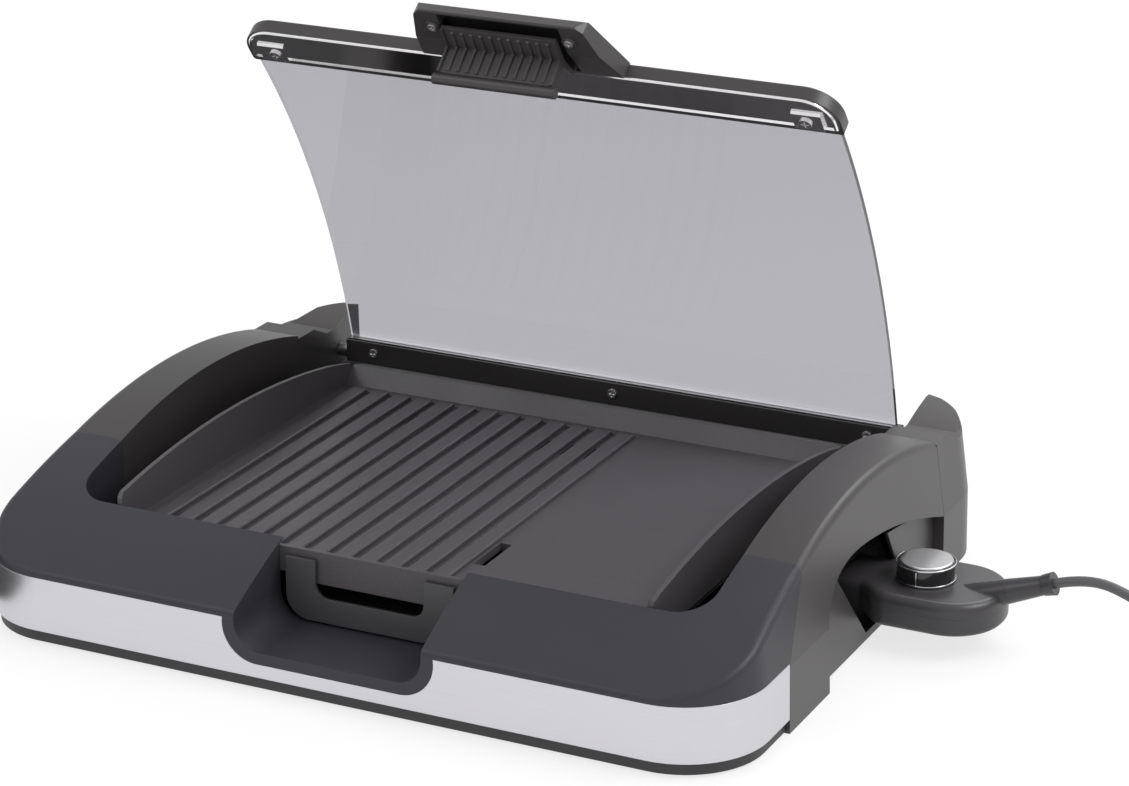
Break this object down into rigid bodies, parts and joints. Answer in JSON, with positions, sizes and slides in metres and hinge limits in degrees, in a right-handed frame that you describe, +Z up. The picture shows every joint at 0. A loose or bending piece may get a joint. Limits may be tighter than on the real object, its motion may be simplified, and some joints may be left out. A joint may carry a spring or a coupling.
{
  "type": "electric grill",
  "caption": "Countertop electric grill with a ribbed and flat plate, a hinged glass lid with a handle, a slide-out drip tray and a plug-in thermostat with a dial and mains cord.",
  "frame": {"origin": "on the table, under the centre of the base's 604 by 500 mm outline", "axes": "+X towards the thermostat, +Y towards the hinge, +Z up"},
  "size_m": [1.0488, 0.5, 0.4289],
  "materials": {
    "charcoal_cover": "fine satin moulded plastic",
    "dark_cover": "satin moulded plastic",
    "base_plastic": "matt moulded plastic",
    "band_steel": "brushed along its length",
    "plate_coating": "cast, with a dark non-stick coating",
    "reflector_metal": "rolled sheet",
    "element_steel": "heat-darkened tube",
    "bracket_steel": "zinc-plated",
    "screw_steel": "plated screws",
    "socket_ceramic": "pale insulating block",
    "bush_plastic": "smooth bearing plastic",
    "foot_rubber": "moulded rubber",
    "tinted_glass": "grey tinted pane",
    "polished_liner": "polished channel",
    "rail_gloss": "glossy black",
    "tray_plastic": "satin moulded plastic",
    "thermostat_plastic": "satin moulded plastic",
    "dial_gloss": "glossy black",
    "dial_silver": "bright cap",
    "cord_sheath": "flexible sheath",
    "plug_metal": "nickel-plated pins"
  },
  "bodies": {
    "base": {"lower_tray": "base_plastic", "front_bezel": "charcoal_cover", "steel_band": "band_steel", "left_arm": "dark_cover", "right_arm": "dark_cover", "left_post": "dark_cover", "right_post": "dark_cover", "rear_panel": "base_plastic", "left_side_panel": "dark_cover", "right_side_panel": "dark_cover", "hinge_bushes": "bush_plastic", "rubber_feet": "foot_rubber", "base_screws": "screw_steel", "grill_plate": "plate_coating", "heating_element": "element_steel", "element_clamps": "bracket_steel", "clamp_screws": "screw_steel", "heat_reflector": "reflector_metal", "plate_rests": "bracket_steel", "terminal_socket": "socket_ceramic", "probe_sleeve": "element_steel", "tray_runners": "base_plastic"},
    "lid": {"lid_glass": "tinted_glass", "top_frame": "dark_cover", "frame_liner": "polished_liner", "frame_clips": "polished_liner", "clip_screws": "screw_steel", "handle_hood": "dark_cover", "handle_grip": "dark_cover", "handle_screws": "screw_steel", "rail_front": "rail_gloss", "rail_back": "rail_gloss", "rail_trim": "polished_liner", "rail_screws": "screw_steel", "hinge_pins": "bracket_steel"},
    "drip_tray": {"drip_tray": "tray_plastic"},
    "thermostat": {"thermostat_top": "thermostat_plastic", "thermostat_bottom": "thermostat_plastic", "thermostat_probe": "element_steel", "contact_sleeves": "bracket_steel", "switch_block": "socket_ceramic", "thermostat_screws": "screw_steel", "strain_relief": "thermostat_plastic", "mains_cord": "cord_sheath", "cord_coil": "cord_sheath", "cord_tail": "cord_sheath", "mains_plug": "cord_sheath", "plug_pins": "plug_metal"},
    "dial": {"dial_knob": "dial_gloss", "dial_cap": "dial_silver", "dial_shaft": "dial_gloss"}
  },
  "joints": [
    {"name": "lid_hinge", "type": "hinge", "parent": "base", "child": "lid", "pos_m": [0, 0.214, 0.076], "axis": [1, 0, 0], "range_deg": [0, 55]},
    {"name": "tray_slide", "type": "slide", "parent": "base", "child": "drip_tray", "axis": [0, -1, 0], "range_m": [0, 0.2]},
    {"name": "thermostat_pull", "type": "slide", "parent": "base", "child": "thermostat", "axis": [1, 0, 0], "range_m": [0, 0.09]},
    {"name": "dial_turn", "type": "hinge", "parent": "thermostat", "child": "dial", "pos_m": [0.3244, 0.046, 0.0439], "axis": [0, 0, -1], "range_deg": [0, 270]}
  ]
}
